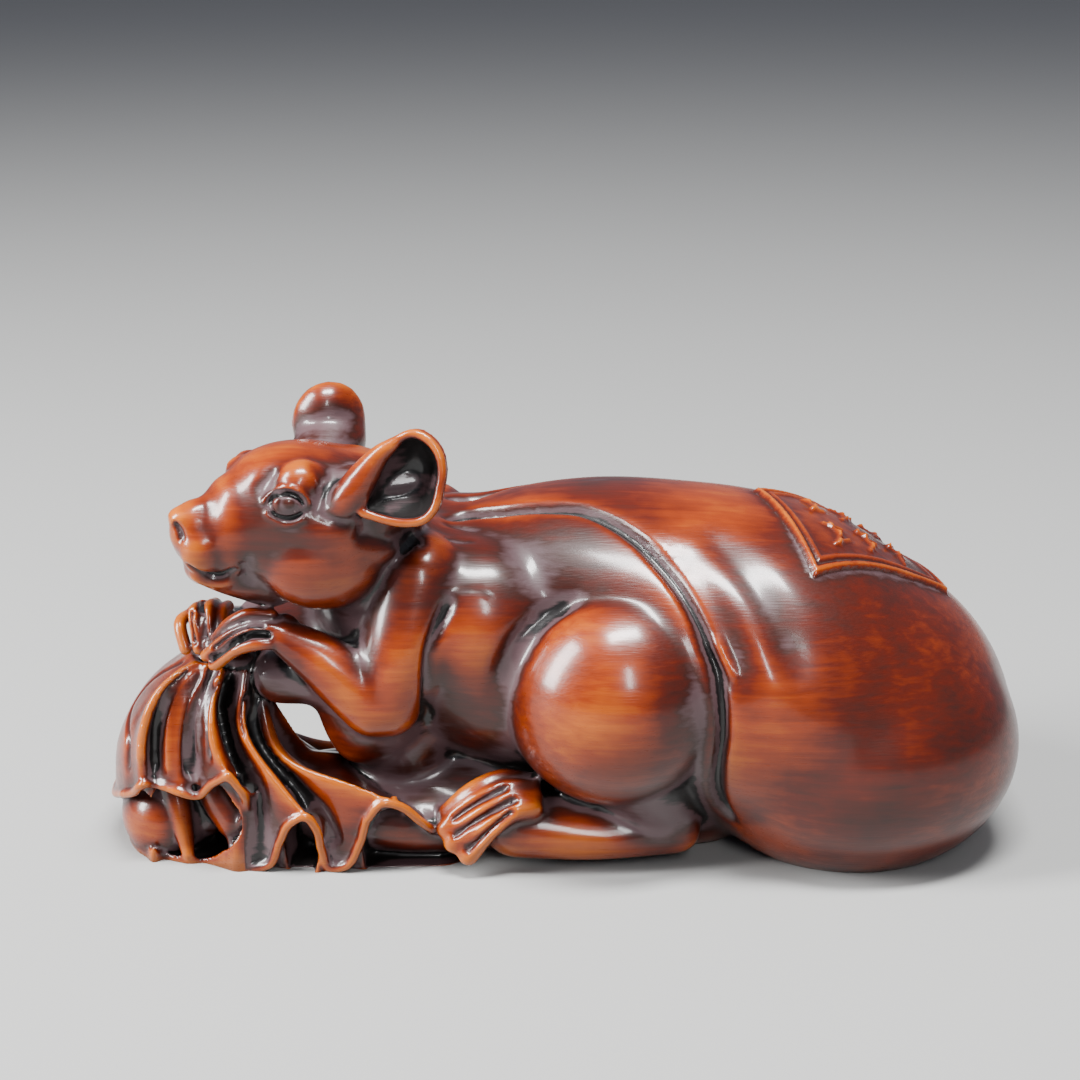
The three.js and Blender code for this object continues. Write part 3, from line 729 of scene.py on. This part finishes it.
# How a stroke is cut, in millimetres: the step along it, the share of its depth at its very ends, the
# half widths it reaches, how sharply skin that faces another way is left out, and distances in a batch
knife = {"step": 0.15, "ends": 0.05, "reach": 2.4, "facing": 3, "batch": 4000000}


def normalsOf(piece):
    normals = np.empty(len(piece.data.vertices) * 3)
    piece.data.vertex_normals.foreach_get("vector", normals)
    return normals.reshape(-1, 3)


def carve(piece, cuts):                # moves the skin in or out beside each stroke
    tree = BVHTree.FromObject(piece, bpy.context.evaluated_depsgraph_get())
    spots, normals = readSpots(piece), normalsOf(piece)
    shift = np.zeros(len(spots))
    for width, depth, taper, points in cuts:
        points = np.array(points, float)
        length = np.linalg.norm(np.diff(points, axis=0), axis=1).sum()
        path, _ = smoothPath(points, np.linspace(0, 1, max(int(length / knife["step"]), 6)))
        near = [tree.find_nearest(Vector(spot)) for spot in path]
        path = np.array([spot[0] for spot in near])
        facing = np.array([spot[1] for spot in near])
        gone = np.r_[0, np.cumsum(np.linalg.norm(np.diff(path, axis=0), axis=1))]
        ease = np.clip(np.minimum(gone, gone[-1] - gone) / taper + knife["ends"], 0, 1)
        ease = ease * ease * (3 - 2 * ease)
        reach = width * knife["reach"]
        inside = np.all((spots > path.min(0) - reach) & (spots < path.max(0) + reach), axis=1)
        chosen = np.flatnonzero(inside)
        batches = max(len(chosen) * len(path) // knife["batch"], 1)
        for part in np.array_split(chosen, batches):
            gaps = np.linalg.norm(spots[part, None] - path[None], axis=2)
            k = gaps.argmin(1)
            gap = gaps[np.arange(len(part)), k] / width
            alike = np.clip((normals[part] * facing[k]).sum(1) * knife["facing"], 0, 1)
            shift[part] -= depth * ease[k] * np.exp(-gap * gap) * alike
    writeSpots(piece, spots + normals * shift[:, None])


def mirrored(cuts):
    other = []
    for width, depth, taper, points in cuts:
        other.append((width, depth, taper, [(x, -y, z) for x, y, z in points]))
    return other


def barOnSkin(tree, start, end):       # three places along a bar, dropped on the skin from above
    bar = []
    for share in (0, 0.5, 1):
        x, y = start + (end - start) * share
        bar.append(tree.ray_cast(Vector((x, y, patch["over"])), Vector((0, 0, -1)))[0])
    return bar


def raisePatch(piece):                 # a square plate with a double edge, and marks that say nothing
    spots, normals = readSpots(piece), normalsOf(piece)
    corners = np.array(patch["corners"], float)
    inset = np.full(len(spots), 99.0)
    for start, end in zip(corners, np.roll(corners, -1, axis=0)):
        along = unit(end - start)
        inset = np.minimum(inset, (spots[:, :2] - start) @ np.array([-along[1], along[0]]))
    raised = (normals[:, 2] > patch["facing"]) * (spots[:, 2] > patch["above"])
    rise = np.interp(inset, patch["depths"], patch["rises"]) * raised
    writeSpots(piece, spots + normals * rise[:, None])
    tree = BVHTree.FromObject(piece, bpy.context.evaluated_depsgraph_get())
    a, b, c, d = corners
    marks = []
    for n, (u, v) in enumerate(patch["marks"]):
        middle = (b * (1 - u) + c * u) * v + (a * (1 - u) + d * u) * (1 - v)
        along, across = unit(c - b), unit(a - b)
        for k in range(patch["bars"]):     # each bar is turned a little further
            turn = math.radians(patch["barTurn"] * k + patch["markTurn"] * n)
            way = along * math.cos(turn) + across * math.sin(turn)
            centre = middle + across * (k - (patch["bars"] - 1) / 2) * patch["barGap"]
            start = centre - way * (patch["barBack"][0] + patch["barBack"][1] * ((n + k) % 3))
            end = centre + way * (patch["barOn"][0] + patch["barOn"][1] * ((2 * n + k) % 3))
            marks.append(patch["mark"] + (barOnSkin(tree, start, end),))
    carve(piece, marks)


def sightOf(piece):                    # finds what the camera sees on the piece at places in its picture
    tree = BVHTree.FromObject(piece, bpy.context.evaluated_depsgraph_get())

    def seen(places):
        found = []
        for across, down in places:
            spot = tree.ray_cast(Vector(view["eye"]), sightLine(across, down))[0]
            if spot is not None:
                found.append(tuple(spot))
        return found
    return seen


def cutsFor(rows, seen):
    return [(width, depth, taper, seen(places)) for width, depth, taper, places in rows]


def headCuts(seen):                    # the face's strokes, on both its sides
    cuts = []
    for width, depth, taper, spots in cutsFor(faceStrokes, seen):
        local = [headPlace.inverted() @ Vector(spot) for spot in spots]
        for side in (1, -1):
            path = [tuple(headPlace @ Vector((x, y * side, z))) for x, y, z in local]
            cuts.append((width, depth, taper, path))
    return cuts


seen = sightOf(rat)
gutters = cutsFor([gutter], seen)
cuts = headCuts(seen) + cutsFor(strokes, seen) + gutters + mirrored(gutters)
raisePatch(rat)
carve(rat, cuts)
print("strokes carved")


def sidesOf(piece):                    # pairs of neighbouring points
    edges = np.empty(len(piece.data.edges) * 2, int)
    piece.data.edges.foreach_get("vertices", edges)
    return edges.reshape(-1, 2)


def smoothed(values, edges, rounds):
    a = np.r_[edges[:, 0], edges[:, 1]]
    b = np.r_[edges[:, 1], edges[:, 0]]
    count = np.maximum(np.bincount(a, minlength=len(values)), 1)
    columns = values.reshape(len(values), -1).astype(float)
    for _ in range(rounds):
        for k in range(columns.shape[1]):
            columns[:, k] = np.bincount(a, weights=columns[b, k], minlength=len(values)) / count
    return columns.reshape(values.shape)


# Rounds of smoothing for fine and broad forms; rays to the sky, how far they reach and spread, and how
# far over the skin they start
# the rays measure how open each point is to the sky, and this paints shade into hollows
wearAndShade = {"fine": 12, "broad": 90, "rays": 16, "reach": 9, "spread": 0.9, "lift": 0.12}


def wornPlaces(piece):                 # how far each point stands out of what is round it, fine and broad
    spots, normals, edges = readSpots(piece), normalsOf(piece), sidesOf(piece)
    fine = smoothed(spots, edges, wearAndShade["fine"])
    broad = smoothed(fine, edges, wearAndShade["broad"])
    return ((spots - fine) * normals).sum(1), ((fine - broad) * normals).sum(1)


def openness(piece):                   # share of the sky that each point sees close by
    tree = BVHTree.FromObject(piece, bpy.context.evaluated_depsgraph_get())
    spots, normals = readSpots(piece), normalsOf(piece)
    golden = math.pi * (3 - math.sqrt(5))
    ways = []
    for k in range(wearAndShade["rays"]):
        high = 1 - (k + 0.5) / wearAndShade["rays"] * wearAndShade["spread"]
        wide = math.sqrt(1 - high * high)
        ways.append((wide * math.cos(golden * k), wide * math.sin(golden * k), high))
    steep = 0.8
    helper = np.where(np.abs(normals[:, :1]) < steep, [[1.0, 0, 0]], [[0, 1.0, 0]])
    side = unit(np.cross(normals, helper))
    other = np.cross(normals, side)
    starts = [Vector(spot) for spot in spots + normals * wearAndShade["lift"]]
    seen = np.zeros(len(spots))
    for x, y, z in ways:
        rays = side * x + other * y + normals * z
        cast = tree.ray_cast
        reach = wearAndShade["reach"]
        hits = [cast(start, Vector(ray), reach)[3] for start, ray in zip(starts, rays)]
        seen += np.array([1.0 if hit is None else hit / reach for hit in hits])
    return seen / wearAndShade["rays"]


# Where the colour is made darker (below zero) or lighter: real stain and rubbed wear, with painted shade
# (below the ear, under the elbow, behind the far forearm, above the heel, right of the haunch, at the bag's
# right end) and painted sheen inside the near ear; place in the picture, reach, strength
stainAndShadeMarks = [
    (287, 504, 1.7, -0.7), (335, 495, 2.2, -0.15), (262, 490, 2.5, -0.12), (400, 538, 3.5, -0.1),
    (385, 570, 5, 0.06), (350, 612, 4, 0.04), (375, 640, 4, -0.04), (402, 603, 4, -0.1),
    (450, 762, 6, 0.06), (420, 745, 5, -0.04), (505, 745, 4, -0.12), (400, 785, 6, 0.1),
    (350, 768, 6, 0.3), (540, 578, 6, -0.18), (480, 582, 5, -0.18), (515, 640, 2.5, -0.15),
    (620, 520, 4, -0.12), (650, 545, 4, -0.12), (690, 790, 5, -0.35), (660, 805, 4, -0.3),
    (690, 730, 4, -0.15), (730, 620, 5, -0.1), (790, 640, 6, -0.12), (960, 720, 10, -0.05),
    (880, 830, 8, -0.08), (250, 845, 2.5, -0.15), (330, 420, 4, -0.22), (250, 620, 3, -0.2),
    (235, 612, 3, -0.2), (210, 610, 2, -0.15), (300, 480, 2.5, -0.08), (270, 458, 4, 0.1),
    (215, 500, 4, 0.1), (225, 545, 4, 0.06), (435, 640, 3, 0.12), (405, 655, 3, 0.12),
    (470, 645, 4, 0.12), (440, 535, 3, 0.12), (590, 625, 4, 0.12), (600, 750, 5, 0.12),
    (550, 740, 4, 0.08), (720, 510, 6, 0.12), (690, 530, 6, 0.08), (850, 545, 6, 0.08),
    (745, 745, 4, 0.12), (732, 785, 4, 0.12), (560, 840, 5, 0.15), (500, 850, 3, 0.15),
    (320, 662, 2, 0.2), (345, 692, 2, 0.2), (289, 504, 0.9, 0.25), (300, 660, 4, -0.15),
    (300, 560, 4, -0.12), (250, 540, 3, -0.1), (600, 780, 5, -0.14), (860, 820, 9, -0.08),
    (950, 790, 9, -0.1), (600, 490, 6, -0.1), (850, 530, 5, -0.08), (400, 437, 2, -0.14),
    (432, 455, 2, -0.1), (660, 840, 4, -0.2), (420, 480, 2.5, 0.15), (425, 500, 2, 0.12),
    (352, 488, 2.5, -0.15), (372, 460, 2.5, -0.15), (395, 440, 2.5, -0.1), (290, 685, 4, -0.3),
    (258, 670, 3, -0.3), (235, 690, 3, -0.15), (400, 755, 4, -0.3), (365, 742, 4, -0.25),
    (437, 480, 2, -0.3), (430, 505, 2, -0.3), (410, 517, 2, -0.25), (385, 520, 1.8, -0.2),
    (425, 450, 2, -0.2), (325, 495, 1.6, 0.15),
]


def stainAndShadeOf(piece, seen):              # stain, wear, painted shade and painted sheen, the same on both sides
    spots = readSpots(piece)
    total = np.zeros(len(spots))
    for across, down, reach, strength in stainAndShadeMarks:
        for x, y, z in seen([(across, down)]):
            for side in (y, -y):
                away = np.linalg.norm(spots - np.array([x, side, z]), axis=1) / reach
                total += strength * np.exp(-away * away)
    return total


def keep(piece, name, values):
    layer = piece.data.attributes.new(name, "FLOAT", "POINT")
    layer.data.foreach_set("value", np.ascontiguousarray(values, np.float32))


fineWear, broadWear = wornPlaces(rat)
keep(rat, "fine", fineWear)
keep(rat, "broad", broadWear)
rat.data.calc_loop_triangles()
applied(rat, "DECIMATE", ratio=min(carving["triangles"] / len(rat.data.loop_triangles), 1))
print("thinned to", len(rat.data.polygons), [layer.name for layer in rat.data.attributes])
# how much sky each point sees: hollows that see little are painted darker, as painted shade
sky = openness(rat)
keep(rat, "open", smoothed(sky, sidesOf(rat), 2))
# the listed marks: stain and wear, with painted shade and painted sheen
keep(rat, "stainAndShade", stainAndShadeOf(rat, seen))
print("wear measured")

metre = 0.001                          # of a millimetre
writeSpots(rat, readSpots(rat) * metre)
pick(rat)
bpy.ops.object.shade_smooth()

boxwood = {
    # black: the deepest hollows, dark wax with painted shade over it
    "black": (0.003, 0.002, 0.002, 1),
    # dust and wax in the hollows, greyed by a painted sheen of the sky's reflection
    "dustAndSheen": (0.055, 0.03, 0.033, 1),
    "dark": (0.022, 0.004, 0.002, 1),
    "red": (0.05, 0.004, 0.0004, 1),
    "orange": (0.14, 0.0165, 0.0002, 1),
    "bright": (0.28, 0.062, 0.0005, 1),
    "stops": [
        (0, "black"), (0.09, "dustAndSheen"), (0.27, "dustAndSheen"), (0.4, "dark"), (0.54, "red"), (0.74, "orange"),
        (1, "bright"),
    ],
    "blotch": 75,
    "grain": (70, 900, 1500),
    "rubbedAndShaded": 0.46,             # on the whole, and the middle and weight of what adds to it or takes away
    # openness: hollows that see little sky are darkened, as painted shade over the kept stain
    "openness": (0.82, 0.54),
    "blotches": (0.5, 0.75),
    "streaks": (0.5, 0.27),
    "fineForms": 1.3,
    "broadForms": 0.5,
    "roughness": (0.3, 0.46),
    "dull": (0.2, 0.65),        # where on the tones it is dull, and where it shines
    "fibres": (0.5, 0.16),
    "coat": 0.5,
    "coatRoughness": 0.16,
    "shine": 0.22,
    "bump": (0.155, 0.00012),
}


def socket(group, name, way, kind="NodeSocketFloat", value=None):
    made = group.interface.new_socket(name=name, in_out=way, socket_type=kind)
    if value is not None:
        made.default_value = value


def maths(tree, how, first, second=None, clamp=False):
    node = tree.nodes.new("ShaderNodeMath")
    node.operation = how
    node.use_clamp = clamp
    for n, value in enumerate((first, second)):
        if value is None:
            continue
        if isinstance(value, (int, float)):
            node.inputs[n].default_value = value
        else:
            tree.links.new(value, node.inputs[n])
    return node.outputs[0]


def weighed(tree, value, middle, weight):    # how far a value lies from its middle, times its weight
    return maths(tree, "MULTIPLY", maths(tree, "SUBTRACT", value, middle), weight)


def makeGrainGroup():                  # streaks along the wood, and blotches in the stain
    group = bpy.data.node_groups.new("woodGrain", "ShaderNodeTree")
    socket(group, "Blotch Scale", "INPUT", value=boxwood["blotch"])
    socket(group, "Streak Scale", "INPUT", "NodeSocketVector", boxwood["grain"])
    for name in ("Blotch", "Streak", "Fibre"):
        socket(group, name, "OUTPUT")
    nodes, links = group.nodes, group.links
    given, made = nodes.new("NodeGroupInput"), nodes.new("NodeGroupOutput")
    place = nodes.new("ShaderNodeTexCoord").outputs["Object"]
    stretch = nodes.new("ShaderNodeVectorMath")
    stretch.operation = "MULTIPLY"
    links.new(place, stretch.inputs[0])
    links.new(given.outputs["Streak Scale"], stretch.inputs[1])
    looks = {
        "Blotch": (place, {"Detail": 4, "Roughness": 0.55}),
        "Streak": (stretch.outputs[0], {"Scale": 1, "Detail": 3, "Distortion": 0.4}),
        "Fibre": (stretch.outputs[0], {"Scale": 4.5, "Detail": 2}),
    }
    for name, (source, values) in looks.items():
        noise = nodes.new("ShaderNodeTexNoise")
        links.new(source, noise.inputs["Vector"])
        for key, value in values.items():
            noise.inputs[key].default_value = value
        if name == "Blotch":
            links.new(given.outputs["Blotch Scale"], noise.inputs["Scale"])
        links.new(noise.outputs[0], made.inputs[name])
    return group


def makeWood():
    wood = bpy.data.materials.new("stainedBoxwood")
    wood.use_nodes = True
    tree = wood.node_tree
    nodes, links = tree.nodes, tree.links
    shader = nodes["Principled BSDF"]
    grain = nodes.new("ShaderNodeGroup")
    grain.node_tree = makeGrainGroup()
    grain.inputs["Blotch Scale"].default_value = boxwood["blotch"]
    grain.inputs["Streak Scale"].default_value = boxwood["grain"]
    measured = {}
    for name in ("fine", "broad", "open", "stainAndShade"):
        layer = nodes.new("ShaderNodeAttribute")
        layer.attribute_name = name
        measured[name] = layer.outputs["Fac"]
    # how much a place is rubbed, with painted shade: crests are bright from wear, hollows keep the dark stain
    # and are painted darker where they see little sky, and the listed marks add painted shade and sheen
    rubbedAndShaded = maths(tree, "MULTIPLY", measured["fine"], boxwood["fineForms"])
    adding = [
        maths(tree, "MULTIPLY", measured["broad"], boxwood["broadForms"]),
        # painted shade in hollows that see little sky
        weighed(tree, measured["open"], *boxwood["openness"]),
        weighed(tree, grain.outputs["Blotch"], *boxwood["blotches"]),
        # stain and wear, with painted shade and painted sheen
        measured["stainAndShade"],
        weighed(tree, grain.outputs["Streak"], *boxwood["streaks"]),
    ]
    for part in adding:
        rubbedAndShaded = maths(tree, "ADD", rubbedAndShaded, part)
    rubbedAndShaded = maths(tree, "ADD", rubbedAndShaded, boxwood["rubbedAndShaded"], clamp=True)
    tones = nodes.new("ShaderNodeValToRGB")
    links.new(rubbedAndShaded, tones.inputs["Fac"])
    ramp = tones.color_ramp.elements
    while len(ramp) < len(boxwood["stops"]):
        ramp.new(0.5)
    for element, (place, name) in zip(ramp, boxwood["stops"]):
        element.position = place
        element.color = boxwood[name]
    links.new(tones.outputs["Color"], shader.inputs["Base Color"])
    dull = nodes.new("ShaderNodeMapRange")
    links.new(rubbedAndShaded, dull.inputs["Value"])
    dull.inputs["From Min"].default_value = boxwood["dull"][0]
    dull.inputs["From Max"].default_value = boxwood["dull"][1]
    dull.inputs["To Min"].default_value = boxwood["roughness"][1]
    dull.inputs["To Max"].default_value = boxwood["roughness"][0]
    rough = weighed(tree, grain.outputs["Fibre"], *boxwood["fibres"])
    links.new(maths(tree, "ADD", dull.outputs[0], rough), shader.inputs["Roughness"])
    shader.inputs["Coat Weight"].default_value = boxwood["coat"]
    shader.inputs["Coat Roughness"].default_value = boxwood["coatRoughness"]
    shader.inputs["Specular IOR Level"].default_value = boxwood["shine"]
    bump = nodes.new("ShaderNodeBump")
    bump.inputs["Strength"].default_value, bump.inputs["Distance"].default_value = boxwood["bump"]
    links.new(grain.outputs["Fibre"], bump.inputs["Height"])
    links.new(bump.outputs["Normal"], shader.inputs["Normal"])
    return wood


rat.data.materials.clear()
rat.data.materials.append(makeWood())
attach(rat, "root")
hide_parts("carved_rat")

# Floor, lights and camera
floorLook = {"size": 4, "colour": (0.24, 0.24, 0.235, 1), "roughness": 0.8}
bpy.ops.mesh.primitive_plane_add(size=floorLook["size"], location=(0, 0, 0))
floor = bpy.context.object
floor.name = "floor"
floorPaint = bpy.data.materials.new("paleFloor")
floorPaint.use_nodes = True
paint = floorPaint.node_tree.nodes["Principled BSDF"]
paint.inputs["Base Color"].default_value = floorLook["colour"]
paint.inputs["Roughness"].default_value = floorLook["roughness"]
floor.data.materials.append(floorPaint)


# Each light's place, what it points at, its size and its power
lights = {
    "windowLight": ((-0.46, -0.14, 0.3), (0.01, 0, 0.02), (0.14, 0.42), 13),
    "topLight": ((0.04, -0.13, 0.56), (0, 0, 0.02), (0.26, 0.1), 11),
    "frontLight": ((0.1, -0.55, 0.36), (0, 0, 0.02), (0.05, 0.22), 1.8),
}
skyLook = {"colour": (0.8, 0.84, 1, 1), "strength": 0.3}


def softbox(name, place, target, size, power):
    bpy.ops.object.light_add(type="AREA", location=place)
    lamp = bpy.context.object
    lamp.name = name
    lamp.data.shape = "RECTANGLE"
    lamp.data.size, lamp.data.size_y = size
    lamp.data.energy = power
    lamp.rotation_euler = (Vector(target) - Vector(place)).to_track_quat("-Z", "Y").to_euler()


for name, values in lights.items():
    softbox(name, *values)
world = bpy.data.worlds.new("studio")
world.use_nodes = True
world.node_tree.nodes["Background"].inputs["Color"].default_value = skyLook["colour"]
world.node_tree.nodes["Background"].inputs["Strength"].default_value = skyLook["strength"]
bpy.context.scene.world = world

bpy.ops.object.camera_add(location=Vector(view["eye"]) * metre, rotation=(math.radians(view["pitch"]), 0, 0))
camera = bpy.context.object
camera.data.lens = view["lens"]
camera.data.sensor_width = view["sensor"]
camera.data.clip_start = 0.01
bpy.context.scene.camera = camera
